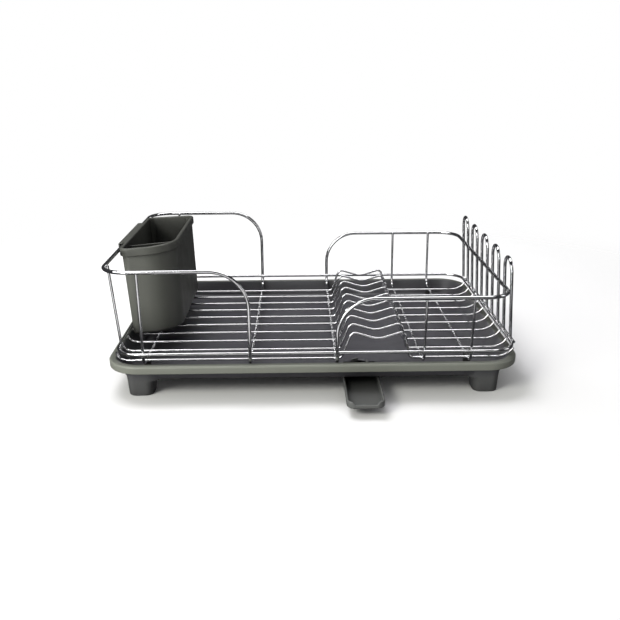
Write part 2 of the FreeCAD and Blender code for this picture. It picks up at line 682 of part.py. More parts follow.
def make_prong(number):
    """An inverted U that stands on the ring and the rail and leans in."""
    name = "cup_prong_%d" % number
    body = new_body(name)
    y = evenly_spread(PRONG_FIRST, PRONG_LAST, number, PRONGS) + " + " + SHIFT_Y
    lean = "-1 * atan(Sizes.prong_lean / (Sizes.prong_top - %s))" % PRONG_LOW
    foot = "vector(%s; %s; %s)" % (PRONG_X, y, PRONG_LOW)
    body.setExpression("Placement", "placement(%s; rotation(vector(0; 1; 0); %s))" % (foot, lean))
    half = "(Sizes.prong_width / 2)"
    shoulder = "(Sizes.prong_top - %s - %s)" % (PRONG_LOW, half)
    path = new_sketch(body, name + "_path", "YZ_Plane")
    add_prong_path(path, half, shoulder)
    bend_wire(body, path, "Sizes.prong_wire")


def add_prong_path(path, half, shoulder):
    """Two straight legs and the half circle that joins them."""
    upright = FreeCAD.Vector(0, 0, 1)
    width = value(half)
    height = value(shoulder)
    left = Part.LineSegment(FreeCAD.Vector(-width, 0, 0), FreeCAD.Vector(-width, height, 0))
    right = Part.LineSegment(FreeCAD.Vector(width, height, 0), FreeCAD.Vector(width, 0, 0))
    circle = Part.Circle(FreeCAD.Vector(0, height, 0), upright, width)
    first = path.addGeometry(left, False)
    arch = path.addGeometry(Part.ArcOfCircle(circle, 0, math.pi), False)
    last = path.addGeometry(right, False)
    path.addConstraint(Sketcher.Constraint("Tangent", first, 2, arch, 2))
    path.addConstraint(Sketcher.Constraint("Tangent", arch, 1, last, 1))
    pin_point(path, first, 1, negative(half), "0")
    pin_point(path, last, 2, half, "0")
    path.addConstraint(Sketcher.Constraint("Vertical", first))
    path.addConstraint(Sketcher.Constraint("Vertical", last))
    dimension(path, "DistanceY", shoulder, -1, 1, first, 2)


def make_rubber_foot(name, x, side):
    """A rubber foot pressed on a cross wire, standing on the tray's floor."""
    body = new_body(name)
    place(body, x, "%d * (%s - Sizes.pad_place)" % (side, RING_Y))
    bottom = "(Sizes.tray_floor + Sizes.rest_gap)"
    top = "(%s + Sizes.cross_wire / 2 + 1)" % CROSS_RUN
    plan = new_sketch(body, name + "_plan", "XY_Plane", bottom)
    add_circle(plan, "0", "0", "Sizes.pad_diameter / 2")
    pad(body, name + "_peg", plan, "%s - %s" % (top, bottom))
    wire_way = new_sketch(body, name + "_way", "XZ_Plane")
    add_circle(wire_way, "0", CROSS_RUN, "Sizes.cross_wire / 2")
    way = pad(body, name + "_bore", wire_way, "Sizes.pad_diameter * 2", cut=True)
    way.Midplane = True
    slot = new_sketch(body, name + "_slot", "XZ_Plane")
    half = "(Sizes.pad_slot / 2)"
    above = "(%s + 1)" % top
    corners = [(negative(half), CROSS_RUN), (half, CROSS_RUN), (half, above), (negative(half), above)]
    add_outline(slot, [(x_at, z_at, None) for x_at, z_at in corners])
    opening = pad(body, name + "_opening", slot, "Sizes.pad_diameter * 2", cut=True)
    opening.Midplane = True
    doc.recompute()


# The utensil cup

# The cup is drawn upright, with its origin in the middle of the hoop's end wire, and then
# leans about that wire until its wall comes near the ring.
CUP_TOP = "Sizes.cup_over_wire"
CUP_FLOOR = "(%s + Sizes.plate_wire / 2 + Sizes.cup_gap)" % PLATE_LEVEL
CUP_LOW = "(%s - Sizes.left_hoop_top)" % CUP_FLOOR
CUP_LEFT = "(Sizes.hoop_wire / 2 + Sizes.cup_inset)"
CUP_FRONT = "(Sizes.cup_inset_front - %s)" % RING_Y
CUP_REAR = "(%s - Sizes.cup_inset_rear)" % RING_Y


def cup_outline(body, name, height, inset):
    """The cup's plan: square at the rear, with a slanted and widely bent front wall."""
    sketch = new_sketch(body, name, "XY_Plane", height)
    left = "(%s + %s)" % (CUP_LEFT, inset)
    right = "(%s + Sizes.cup_depth - %s)" % (CUP_LEFT, inset)
    front = "(%s + %s)" % (CUP_FRONT, inset)
    rear = "(%s - %s)" % (CUP_REAR, inset)
    bend = "(Sizes.cup_bend - %s)" % inset
    front_bend = "(Sizes.cup_front_bend - %s)" % inset
    swept = "(%s + Sizes.cup_sweep)" % front
    add_outline(sketch, [(left, front, bend), (right, swept, front_bend),
                         (right, rear, bend), (left, rear, bend)])
    return sketch


def lean_cup(body):
    """Hangs the cup on the hoop's end wire and leans it towards the ring."""
    drop = "(Sizes.left_hoop_top - Sizes.ring_height)"
    ring_face = "(%s - %s + Sizes.ring_wire / 2)" % (RING_LEFT, LEFT_HOOP_X)
    wall = "(%s + Sizes.cup_draft * %s / (%s - %s))" % (CUP_LEFT, drop, CUP_TOP, CUP_LOW)
    lean = "atan((%s + Sizes.cup_lean_gap - %s) / %s)" % (ring_face, wall, drop)
    hang = "vector(%s; %s; Sizes.left_hoop_top)" % (LEFT_HOOP_X, SHIFT_Y)
    turn = "rotation(vector(0; 1; 0); -1 * %s)" % lean
    body.setExpression("Placement", "placement(%s; %s)" % (hang, turn))


def make_cup():
    body = new_body("utensil_cup")
    lean_cup(body)
    loft(body, "shell", [
        cup_outline(body, "shell_low", CUP_LOW, "(Sizes.cup_draft + Sizes.cup_bevel)"),
        cup_outline(body, "shell_bend", "%s + Sizes.cup_bevel" % CUP_LOW, "Sizes.cup_draft"),
        cup_outline(body, "shell_top", CUP_TOP, "0"),
    ])
    collar_low = "(%s - Sizes.cup_collar)" % CUP_TOP
    collar = cup_outline(body, "collar_plan", collar_low, "(0 - Sizes.cup_collar_proud)")
    pad(body, "collar", collar, "Sizes.cup_collar")
    make_hook(body)
    floor = "(%s + Sizes.cup_wall)" % CUP_LOW
    side = "(Sizes.cup_draft + Sizes.cup_wall)"
    loft(body, "hollow", [
        cup_outline(body, "hollow_low", floor, "(%s + Sizes.cup_bevel)" % side),
        cup_outline(body, "hollow_bend", "%s + Sizes.cup_bevel" % floor, side),
        cup_outline(body, "hollow_top", CUP_TOP, "Sizes.cup_wall"),
    ], cut=True)
    make_divider(body)
    make_cup_slots(body)


def make_hook(body):
    """A lip that goes out over the hoop's end wire and hangs down behind it."""
    middle = "((%s + %s) / 2)" % (CUP_REAR, CUP_FRONT)
    wire_reach = "(Sizes.hoop_wire / 2 + Sizes.hook_gap)"
    inner = "(%s - Sizes.cup_collar_proud + Sizes.cup_wall)" % CUP_LEFT
    outer = "(0 - %s - Sizes.hook_wall)" % wire_reach
    bottom = "(%s - Sizes.hook_drop)" % CUP_TOP
    lip_inner = negative(wire_reach)
    corners = [(inner, wire_reach), (lip_inner, wire_reach), (lip_inner, bottom), (outer, bottom)]
    corners += [(outer, CUP_TOP), (inner, CUP_TOP)]
    section = new_sketch(body, "hook_section", "XZ_Plane", negative(middle))
    add_outline(section, [(x, z, None) for x, z in corners])
    hook = pad(body, "hook", section, "Sizes.hook_width")
    hook.Midplane = True
    doc.recompute()


def make_divider(body):
    """A slanted wall between the two compartments."""
    low = "(%s + Sizes.cup_wall / 2)" % CUP_LOW
    sketch = new_sketch(body, "divider_plan", "XY_Plane", low)
    left = "(%s + Sizes.cup_draft + Sizes.cup_wall / 2)" % CUP_LEFT
    right = "(%s + Sizes.cup_depth - Sizes.cup_draft - Sizes.cup_wall / 2)" % CUP_LEFT
    front = "(%s + Sizes.divider_inset)" % CUP_FRONT
    slanted = "(%s + Sizes.divider_sweep)" % front
    corners = [(left, front), (right, slanted)]
    corners += [(right, slanted + " + Sizes.cup_wall"), (left, front + " + Sizes.cup_wall")]
    add_outline(sketch, [(x, y, None) for x, y in corners])
    pad(body, "divider", sketch, "%s - Sizes.divider_drop - %s" % (CUP_TOP, low))


def make_cup_slots(body):
    """Drain slots across the floor of the rear compartment."""
    sketch = new_sketch(body, "slot_plan", "XY_Plane", CUP_LOW)
    middle_x = "(%s + Sizes.cup_depth / 2)" % CUP_LEFT
    half_length = "(Sizes.cup_slot_length / 2)"
    half_width = "(Sizes.cup_slot_width / 2)"
    first = "(%s - Sizes.cup_slot_inset)" % CUP_REAR
    slanted = "(%s + Sizes.divider_inset + Sizes.divider_sweep)" % CUP_FRONT
    last = "(%s + Sizes.cup_slot_gap)" % slanted
    for number in range(1, CUP_SLOTS + 1):
        y = "(%s)" % evenly_spread(first, last, number, CUP_SLOTS)
        add_outline(sketch, [
            (middle_x + " - " + half_length, y + " - " + half_width, None),
            (middle_x + " + " + half_length, y + " - " + half_width, None),
            (middle_x + " + " + half_length, y + " + " + half_width, None),
            (middle_x + " - " + half_length, y + " + " + half_width, None),
        ])
    pad(body, "drain_slots", sketch, "Sizes.cup_wall", cut=True, backwards=True)


def make_rack():
    make_hoop("left_hoop", LEFT_HOOP_X, negative("Sizes.left_hoop_leg"), "Sizes.left_hoop_top")
    make_hoop("right_hoop", RIGHT_HOOP_X, "Sizes.right_hoop_leg", "Sizes.right_hoop_top")
    make_ring()
    for number in range(1, PLATE_WIRES + 1):
        make_plate_wire(number)
    make_cross_wire("cross_wire_left", CROSS_LEFT_X, "Sizes.left_hoop_top")
    make_cross_wire("cross_wire_middle", CROSS_MIDDLE_X, "Sizes.right_hoop_top")
    make_cross_wire("cross_wire_right", CROSS_RIGHT_X, "Sizes.right_hoop_top")
    make_end_stay("end_stay_front", -1)
    make_end_stay("end_stay_rear", 1)
    make_prong_rail()
    for number in range(1, PRONGS + 1):
        make_prong(number)
    for end, x in (("left", CROSS_LEFT_X), ("right", CROSS_RIGHT_X)):
        make_rubber_foot("rack_foot_front_" + end, x, -1)
        make_rubber_foot("rack_foot_rear_" + end, x, 1)


def check_and_export():
    """Stops on any failed object, then writes each piece as its own file."""
    doc.recompute()
    for item in doc.Objects:
        if "Invalid" in item.State or "Error" in item.State:
            raise RuntimeError("%s failed: %s" % (item.Name, item.State))
    os.makedirs("parts", exist_ok=True)
    for piece in pieces:
        shape = piece.Shape
        if shape.isNull() or not shape.isValid() or len(shape.Solids) != 1:
            raise RuntimeError("%s isn't one valid solid" % piece.Label)
        shape.exportStep("parts/%s.step" % piece.Label)
        print("%-24s %10.1f mm3" % (piece.Label, shape.Volume))


fill_sheet()
make_tray()
make_spout()
make_rack()
make_cup()
check_and_export()
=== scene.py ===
# %% [markdown]
# # A dish drying rack
#
# The object is a chromed wire rack that stands in a moulded drip tray. A spout swivels in
# the tray's drain hole, and a utensil cup hangs on the rack's left end. This lesson loads
# the measured model of it, gives the wires their chrome, models the plastic pieces again
# with the soft edges that moulding gives them, and then sets up the studio.

# %% The measured model
import json
import math

import bmesh
import bpy
from mathutils import Matrix, Vector, noise
from mathutils.bvhtree import BVHTree
from mathutils.geometry import intersect_ray_tri

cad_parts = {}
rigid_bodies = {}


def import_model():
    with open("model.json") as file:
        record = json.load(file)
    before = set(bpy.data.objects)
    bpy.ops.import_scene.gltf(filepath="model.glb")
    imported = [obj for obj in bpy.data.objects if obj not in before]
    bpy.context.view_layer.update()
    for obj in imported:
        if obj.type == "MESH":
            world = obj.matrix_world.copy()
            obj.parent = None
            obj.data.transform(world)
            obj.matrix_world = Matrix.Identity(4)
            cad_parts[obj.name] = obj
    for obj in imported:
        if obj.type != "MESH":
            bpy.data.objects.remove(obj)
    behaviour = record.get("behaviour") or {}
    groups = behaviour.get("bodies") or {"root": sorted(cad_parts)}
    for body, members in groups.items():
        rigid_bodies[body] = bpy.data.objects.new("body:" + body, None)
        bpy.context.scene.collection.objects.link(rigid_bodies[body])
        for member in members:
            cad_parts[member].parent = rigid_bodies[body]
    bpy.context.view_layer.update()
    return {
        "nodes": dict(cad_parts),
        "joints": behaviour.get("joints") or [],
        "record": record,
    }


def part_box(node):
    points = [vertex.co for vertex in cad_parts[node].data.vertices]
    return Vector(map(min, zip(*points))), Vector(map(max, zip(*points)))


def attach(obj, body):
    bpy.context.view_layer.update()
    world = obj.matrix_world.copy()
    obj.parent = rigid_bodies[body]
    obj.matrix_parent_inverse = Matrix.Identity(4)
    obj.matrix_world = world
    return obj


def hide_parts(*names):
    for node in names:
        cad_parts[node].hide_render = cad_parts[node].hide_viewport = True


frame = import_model()

# %% [markdown]
# ## Lengths
#
# Blender works in metres. The drawings of household goods are in millimetres, so a short
# name for a millimetre keeps the numbers below as a maker would say them.

# %% A millimetre
MM = 0.001
print("one metre is", round(1 / MM), "mm")

# %% [markdown]
# ## Tools for the finishes
#
# No real finish is one flat value. Every finish below is made from the same few parts: a
# noise that is fixed to the piece, a ramp that turns it into two close shades, a range that
# turns it into two degrees of gloss, and a bump. They could be set up again in each
# material, but small functions keep each finish short enough to read.

# %% Noise, shades, gloss and bump
NOISE_LOW, NOISE_HIGH = 0.3, 0.7


def new_finish(name):
    """A material with its node tree and its main shader."""
    material = bpy.data.materials.new(name)
    material.use_nodes = True
    return material, material.node_tree.nodes["Principled BSDF"]


def noise_texture(material, scale, detail):
    """A noise texture that is fixed to the object, at a scale per metre."""
    nodes, links = material.node_tree.nodes, material.node_tree.links
    place = nodes.new("ShaderNodeTexCoord")
    texture = nodes.new("ShaderNodeTexNoise")
    texture.inputs["Scale"].default_value = scale
    texture.inputs["Detail"].default_value = detail
    links.new(place.outputs["Object"], texture.inputs["Vector"])
    return texture


def shades_from(material, texture, low, high):
    """A colour that wanders between two shades with a texture."""
    ramp = material.node_tree.nodes.new("ShaderNodeValToRGB")
    ramp.color_ramp.elements[0].position = NOISE_LOW
    ramp.color_ramp.elements[1].position = NOISE_HIGH
    ramp.color_ramp.elements[0].color = (*low, 1)
    ramp.color_ramp.elements[1].color = (*high, 1)
    material.node_tree.links.new(texture.outputs["Fac"], ramp.inputs["Fac"])
    return ramp.outputs["Color"]


def gloss_from(material, texture, low, high):
    """Feeds a texture to the shader's roughness, between two numbers."""
    nodes, links = material.node_tree.nodes, material.node_tree.links
    spread = nodes.new("ShaderNodeMapRange")
    spread.inputs["From Min"].default_value = NOISE_LOW
    spread.inputs["From Max"].default_value = NOISE_HIGH
    spread.inputs["To Min"].default_value = low
    spread.inputs["To Max"].default_value = high
    links.new(texture.outputs["Fac"], spread.inputs["Value"])
    links.new(spread.outputs["Result"], nodes["Principled BSDF"].inputs["Roughness"])


def bump_from(material, texture, strength, depth):
    """Feeds a texture to the shader's normal as bumps of this depth."""
    nodes, links = material.node_tree.nodes, material.node_tree.links
    bump = nodes.new("ShaderNodeBump")
    bump.inputs["Strength"].default_value = strength
    bump.inputs["Distance"].default_value = depth
    links.new(texture.outputs["Fac"], bump.inputs["Height"])
    links.new(bump.outputs["Normal"], nodes["Principled BSDF"].inputs["Normal"])


print("finishes use noise between", NOISE_LOW, "and", NOISE_HIGH)

# %% [markdown]
# ## Plastic
#
# The tray, the spout and the cup are injection moulded in nearly the same charcoal grey. A
# mould for such goods is etched, which leaves a satin grain of a few tenths of a
# millimetre. A fine noise bumps the surface, and broader ones shift the colour and the
# gloss a little, as the flow of the plastic and years of wiping do. The colour is also
# multiplied by a painted shade: it is darker in a hollow, by how open the surface is, to
# stand in for the shade that falls there.

# %% A moulded plastic
HOLLOW_REACH = 60 * MM
GRAIN_DEPTH = 0.05 * MM


def painted_hollow_shade(material, power):
    """Painted shade: how open the surface is, raised to a power; near 0 in a hollow, 1 in the
    open.
    """
    nodes, links = material.node_tree.nodes, material.node_tree.links
    hollow = nodes.new("ShaderNodeAmbientOcclusion")
    hollow.samples = 6
    hollow.inputs["Distance"].default_value = HOLLOW_REACH
    deep = nodes.new("ShaderNodeMath")
    deep.operation = "POWER"
    deep.inputs[1].default_value = power
    links.new(hollow.outputs["AO"], deep.inputs[0])
    return deep.outputs["Value"]


def mixed(material, kind, factor, first, second):
    """Mixes two colours. An input is a number, a colour or another node's output."""
    mix = material.node_tree.nodes.new("ShaderNodeMix")
    mix.data_type = "RGBA"
    mix.blend_type = kind
    for name, value in (("Factor", factor), ("A", first), ("B", second)):
        if isinstance(value, bpy.types.NodeSocket):
            material.node_tree.links.new(value, mix.inputs[name])
        else:
            mix.inputs[name].default_value = value
    return mix.outputs["Result"]


def moulded_plastic(name, low, high, gloss, shade, painted_light=None):
    """Satin plastic between two shades, a third shade painted as light where the mesh stores
    it, and painted shade in hollows.
    """
    material, shader = new_finish(name)
    shader.inputs["IOR"].default_value = 1.5
    colour = shades_from(material, noise_texture(material, 14, 4), low, high)
    # a lighter shade painted as light, where the mesh stores it
    if painted_light:
        where = material.node_tree.nodes.new("ShaderNodeAttribute")
        where.attribute_name = "painted_light"
        colour = mixed(material, "MIX", where.outputs["Fac"], colour, (*painted_light, 1))
    # painted shade: the colour is darkened in hollows
    colour = mixed(material, "MULTIPLY", 1, colour, painted_hollow_shade(material, shade))
    material.node_tree.links.new(colour, shader.inputs["Base Color"])
    gloss_from(material, noise_texture(material, 60, 6), *gloss)
    bump_from(material, noise_texture(material, 2600, 2), 0.25, GRAIN_DEPTH)
    return material


# the tray's third colour is painted light on its rim, band and skirt
tray_plastic = moulded_plastic("charcoal_tray", (0.060, 0.059, 0.068), (0.074, 0.073, 0.082),
                               gloss=(0.34, 0.44), shade=1.1, painted_light=(0.132, 0.138, 0.118))
cup_plastic = moulded_plastic("charcoal_cup", (0.061, 0.063, 0.055), (0.072, 0.074, 0.065),
                              gloss=(0.36, 0.46), shade=1.5)
spout_plastic = moulded_plastic("charcoal_spout", (0.084, 0.086, 0.084), (0.100, 0.103, 0.100),
                                gloss=(0.34, 0.44), shade=0.6)
print("plastics:", tray_plastic.name, cup_plastic.name, spout_plastic.name)

# %% [markdown]
# ## Chrome
#
# The wire is drawn steel with bright chrome plate. Chrome has almost no colour of its own:
# what shows is the room. Drawing leaves faint waves along the wire, and water leaves dull
# spots, so the roughness varies and a very weak bump bends the reflections.

# %% Chrome plate
def chrome_plate(name):
    """Bright plate with faint waves and a few duller spots."""
    material, shader = new_finish(name)
    shader.inputs["Metallic"].default_value = 1.0
    spots = noise_texture(material, 90, 4)
    colour = shades_from(material, spots, (0.70, 0.70, 0.71), (0.82, 0.82, 0.83))
    material.node_tree.links.new(colour, shader.inputs["Base Color"])
    gloss_from(material, noise_texture(material, 160, 5), 0.06, 0.17)
    bump_from(material, noise_texture(material, 420, 2), 0.05, 0.05 * MM)
    return material


chrome = chrome_plate("bright_chrome")
print("metal:", chrome.name)

# %% [markdown]
# ## Rubber
#
# Small black rubber sleeves keep the rack off the tray. Moulded rubber is dull, with a
# faint bloom of lighter grey, so its roughness is high and its colour wanders slightly.

# %% Rubber
def black_rubber(name):
    """Dull black rubber with a faint grey bloom."""
    material, shader = new_finish(name)
    shader.inputs["Specular IOR Level"].default_value = 0.35
    bloom = noise_texture(material, 350, 5)
    colour = shades_from(material, bloom, (0.012, 0.012, 0.012), (0.028, 0.028, 0.027))
    material.node_tree.links.new(colour, shader.inputs["Base Color"])
    gloss_from(material, noise_texture(material, 500, 4), 0.55, 0.75)
    bump_from(material, noise_texture(material, 3000, 3), 0.3, 0.05 * MM)
    return material


rubber = black_rubber("black_rubber")
print("rubber:", rubber.name)

# %% [markdown]
# ## The wires and the rubber feet
#
# The measured wires are true swept tubes, so they stay as they are and only get their
# finish. A node takes it by having the material put into its own slots.

# %% Finish the measured pieces
def finish_node(name, material):
    """Puts a material into a measured piece's slots."""
    slots = frame["nodes"][name].data.materials
    slots.clear()
    slots.append(material)


rack_nodes = frame["record"]["behaviour"]["bodies"]["rack"]
rubber_feet = [name for name in rack_nodes if name.startswith("rack_foot")]
wires = [name for name in rack_nodes if name not in rubber_feet]
for name in wires:
    finish_node(name, chrome)
for name in rubber_feet:
    finish_node(name, rubber)
print(len(wires), "wires,", len(rubber_feet), "rubber feet")

# %% [markdown]
# ## Weld nuggets
#
# Crossed wires are pressed together and resistance welded: both soften, sink into each
# other, and a little metal squeezes out into the corner between them. That nugget is what
# tells a welded rack from wires that only touch. The meeting points are found from the
# wires themselves, by looking where the skin of one wire cuts the skin of another.

# %% Where two wires meet
def skin_of(name):
    """The points and triangles of a measured piece, in the world."""
    node = frame["nodes"][name]
    node.data.calc_loop_triangles()
    points = [node.matrix_world @ vert.co for vert in node.data.vertices]
    triangles = [tuple(triangle.vertices) for triangle in node.data.loop_triangles]
    return points, triangles, BVHTree.FromPolygons(points, triangles)


def cuts(points, edge_of, other_points, face):
    """The points where the edges of one triangle pass through another triangle."""
    found = []
    for k in range(3):
        start, end = points[edge_of[k]], points[edge_of[(k + 1) % 3]]
        run = end - start
        hit = intersect_ray_tri(*[other_points[v] for v in face], run, start, True)
        if hit and (hit - start).length <= run.length and (hit - start).dot(run) >= 0:
            found.append(hit)
    return found


MEETING_REACH = 6 * MM
skins = {name: skin_of(name) for name in wires}
meetings = []
for k, first in enumerate(wires):
    for second in wires[k + 1:]:
        points_a, triangles_a, tree_a = skins[first]
        points_b, triangles_b, tree_b = skins[second]
        groups = []
        for a, b in tree_a.overlap(tree_b):
            hits = cuts(points_a, triangles_a[a], points_b, triangles_b[b])
            hits += cuts(points_b, triangles_b[b], points_a, triangles_a[a])
            for hit in hits:
                near = next((g for g in groups if (g[0] - hit).length < MEETING_REACH), None)
                if near:
                    near.append(hit)
                else:
                    groups.append([hit])
        meetings += [sum(group, Vector()) / len(group) for group in groups]
print(len(meetings), "welds between", len(wires), "wires")

# %% [markdown]
# A nugget could be a ball, but squeezed metal is never quite round. Each one is a small
# round mesh with a different lump of noise, and the wires hide most of it.

# %% The nuggets
NUGGET_RADIUS = 1.7 * MM
NUGGET_ROUGH = 0.25 * MM
LUMP_SCALE = 1.5
SPOT_SCALE = 400
nuggets = bmesh.new()
for spot in meetings:
    made = bmesh.ops.create_icosphere(nuggets, subdivisions=2, radius=1)["verts"]
    for vert in made:
        lump = noise.noise(vert.co * LUMP_SCALE + spot * SPOT_SCALE)
        vert.co = spot + vert.co * (NUGGET_RADIUS + NUGGET_ROUGH * lump)
nugget_data = bpy.data.meshes.new("weld_nuggets")
nuggets.to_mesh(nugget_data)
nuggets.free()
nugget_data.shade_smooth()
nugget_data.materials.append(chrome)
weld_nuggets = bpy.data.objects.new("weld_nuggets", nugget_data)
bpy.context.scene.collection.objects.link(weld_nuggets)
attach(weld_nuggets, "rack")
print("nugget faces:", len(nugget_data.polygons))

# %% [markdown]
# ## Outlines with bends
#
# A moulded piece has hardly a sharp corner. Both its plan and its cross-section are drawn
# here as corners with a bend radius each, and every corner becomes a short arc. Each
# outline has the same number of points at every level, so that levels join up in quads.

# %% Bend the corners of an outline
ARC_STEPS = 7


def bend(before, corner, after, radius, steps=ARC_STEPS):
    """Points along the arc that replaces a corner."""
    a = (before - corner).normalized()
    b = (after - corner).normalized()
    half = a.angle(b) / 2
    centre = corner + (a + b).normalized() * (radius / math.sin(half))
    start = corner + a * (radius / math.tan(half)) - centre
    end = corner + b * (radius / math.tan(half)) - centre
    turn = start.angle_signed(end)
    return [centre + Matrix.Rotation(-turn * k / steps, 2) @ start for k in range(steps + 1)]


def outline(corners, closed=True, steps=ARC_STEPS):
    """Points of an outline given as corners: x, y, bend radius and perhaps its own steps."""
    points = []
    spots = [Vector(corner[:2]) for corner in corners]
    for k, corner in enumerate(corners):
        ends_here = not closed and k in (0, len(corners) - 1)
        if ends_here or not corner[2]:
            points.append(spots[k])
        else:
            after = spots[(k + 1) % len(spots)]
            own_steps = corner[3] if len(corner) > 3 else steps
            points += bend(spots[k - 1], spots[k], after, corner[2], own_steps)
    return points


plain_box = outline([(0, 0, 1), (4, 0, 1), (4, 3, 1), (0, 3, 1)])
print("a box with bent corners has", len(plain_box), "points")

# %% [markdown]
# ## Rings into a skin
#
# With the outlines stacked as rings of points, a skin is a strip of quads between each
# ring and the next. The floor of a tray or cup is flat and may have holes, so it is filled
# between its edge and the holes instead.

# %% Skins and floors
SHARP_EDGE = math.radians(50)


def add_ring(mesh, points):
    """The points of one ring, put into a mesh."""
    return [mesh.verts.new(point) for point in points]


def skin(mesh, rings):
    """Quads between each ring of points and the next one."""
    made = [add_ring(mesh, ring) for ring in rings]
    for low, high in zip(made, made[1:]):
        for k in range(len(low)):
            n = (k + 1) % len(low)
            mesh.faces.new((low[k], low[n], high[n], high[k]))
    return made


def edges_round(mesh, ring):
    """The edges that run round a ring."""
    edges = []
    for k, vert in enumerate(ring):
        pair = (vert, ring[(k + 1) % len(ring)])
        edges.append(mesh.edges.get(pair) or mesh.edges.new(pair))
    return edges


def fill_between(mesh, *rings):
    """A flat floor inside the first ring and outside the others."""
    edges = [edge for ring in rings for edge in edges_round(mesh, ring)]
    bmesh.ops.triangle_fill(mesh, use_beauty=True, use_dissolve=False, edges=edges)


def soften(piece):
    """Smooth shading that keeps flats flat and sharp edges sharp."""
    piece.data.shade_smooth()
    piece.data.set_sharp_from_angle(angle=SHARP_EDGE)
    even = piece.modifiers.new("even_shading", "WEIGHTED_NORMAL")
    even.keep_sharp = True


def new_piece(name, mesh, material):
    """Turns a finished bmesh into a smooth-shaded object."""
    bmesh.ops.recalc_face_normals(mesh, faces=mesh.faces)
    data = bpy.data.meshes.new(name)
    mesh.to_mesh(data)
    mesh.free()
    data.materials.append(material)
    piece = bpy.data.objects.new(name, data)
    bpy.context.scene.collection.objects.link(piece)
    soften(piece)
    return piece


print("edges sharper than", round(math.degrees(SHARP_EDGE)), "degrees stay sharp")

# %% [markdown]
# ## Solids into one
#
# Some pieces are easier to make as several closed solids that overlap, such as a tray and
# its feet. A real moulding has no inner walls there, so the solids are united by an exact
# boolean, and only the outer skin is left.

# %% Unite closed solids
def join_solids(piece, others):
    """Unites other closed solids with a piece, for good."""
    for other in others:
        union = piece.modifiers.new("union", "BOOLEAN")
        union.operation = "UNION"
        union.solver = "EXACT"
        union.object = other
    piece.modifiers["even_shading"].show_viewport = False
    bpy.context.view_layer.update()
    depsgraph = bpy.context.evaluated_depsgraph_get()
    whole = bpy.data.meshes.new_from_object(piece.evaluated_get(depsgraph))
    parted = piece.data
    piece.modifiers.clear()
    piece.data = whole
    bpy.data.meshes.remove(parted)
    for other in others:
        bpy.data.objects.remove(other)
    soften(piece)


print("solids are united with the exact solver")

# %% [markdown]
# ## The drip tray
#
# The tray is one shell, about 2.5 mm thick. Its cross-section runs from the floor up the
# sloping side, over the broad rim, down the rim's band, up into the hollow behind the band
# and down the skirt to the underside. Sweeping that line round the tray's plan gives the
# whole shell at once, with a soft bend at every corner of the section.

# %% Section and plan of the tray
tray_low, tray_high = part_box("drip_tray")
tray_middle = (tray_low + tray_high) / 2
half_length = (tray_high.x - tray_low.x) / 2
half_width = (tray_high.y - tray_low.y) / 2
rim_top = tray_high.z
TRAY_CORNER = 40 * MM
FLOOR_TOP = 21 * MM
FLOOR_UNDER = 18.5 * MM
RIM_LOW = rim_top - 9.5 * MM
RIM_UNDER = rim_top - 2.5 * MM
FLOOR_RING = 60 * MM
FLAT_INSET, FLAT_UNDER_INSET = 20.3 * MM, 17.7 * MM
RIM_WIDTH = 8 * MM

tray_section = [
    (FLOOR_RING, FLOOR_TOP, 0),
    (FLAT_INSET, FLOOR_TOP, 6 * MM),
    (RIM_WIDTH, rim_top, 1.6 * MM),
    (0, rim_top, 2.4 * MM),
    (0.4 * MM, RIM_LOW, 1.1 * MM),
    (2.7 * MM, RIM_LOW, 0.9 * MM),
    (2.5 * MM, RIM_UNDER, 1.2 * MM),
    (6.5 * MM, RIM_UNDER, 1.2 * MM),
    (6.7 * MM, RIM_LOW, 0.6 * MM),
    (10 * MM, RIM_LOW, 1.2 * MM),
    (FLAT_UNDER_INSET, FLOOR_UNDER, 5 * MM),
    (FLOOR_RING, FLOOR_UNDER, 0),
]


def tray_plan(inset, z):
    """The tray's plan at one level, drawn in from the rim by an inset."""
    x, y, r = half_length - inset, half_width - inset, max(TRAY_CORNER - inset, 2 * MM)
    corners = [(-x, -y, r), (x, -y, r), (x, y, r), (-x, y, r)]
    flat = outline(corners, steps=14)
    return [Vector((tray_middle.x + p.x, tray_middle.y + p.y, z)) for p in flat]


section_points = outline(tray_section, closed=False, steps=5)
print("the tray's section has", len(section_points), "points")

# %% [markdown]
# ### Drain hole
#
# The water leaves through one round hole. Its upper edge is dished, so that no water
# stands round it. The hole's middle is read from the spout, which swivels in it.

# %% The drain hole
HOLE_RADIUS = 11 * MM
DISH_DEPTH = 1.2 * MM
spout_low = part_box("swivel_spout")[0]
swivel = next(joint for joint in frame["joints"] if joint["child"] == "spout")
pivot = Vector(swivel["pos_m"])
print("pivot in mm:", [round(1000 * c, 2) for c in pivot])


def circle(centre, radius, z, count=40):
    """A ring of points at one level."""
    turn = 2 * math.pi / count
    spots = [(math.cos(k * turn), math.sin(k * turn)) for k in range(count)]
    return [Vector((centre.x + radius * c, centre.y + radius * s, z)) for c, s in spots]


hole_section = outline([
    (19 * MM, FLOOR_TOP, 0),
    (15 * MM, FLOOR_TOP, 0),
    (12 * MM, FLOOR_TOP - 0.7 * MM, 2 * MM),
    (HOLE_RADIUS, FLOOR_TOP - DISH_DEPTH, 0.5 * MM),
    (HOLE_RADIUS, FLOOR_UNDER, 0),
], closed=False, steps=4)
print("the hole is", round(2 * HOLE_RADIUS / MM), "mm wide")

# %% The tray's shell
shell = bmesh.new()
tray_rings = skin(shell, [tray_plan(inset, z) for inset, z in section_points])
hole_rings = skin(shell, [circle(pivot, radius, z) for radius, z in hole_section])
fill_between(shell, tray_rings[0], hole_rings[0])
fill_between(shell, tray_rings[-1], hole_rings[-1])
drip_tray = new_piece("tray_shell", shell, tray_plastic)
print("shell faces:", len(drip_tray.data.polygons))

# %% [markdown]
# ### Moulded feet
#
# Four hollow feet hang from the corners of the floor. Each tapers by 4 degrees so that it
# leaves the mould, is rounded where it stands on the table, and runs out into the floor
# with a soft fillet on its inner sides.

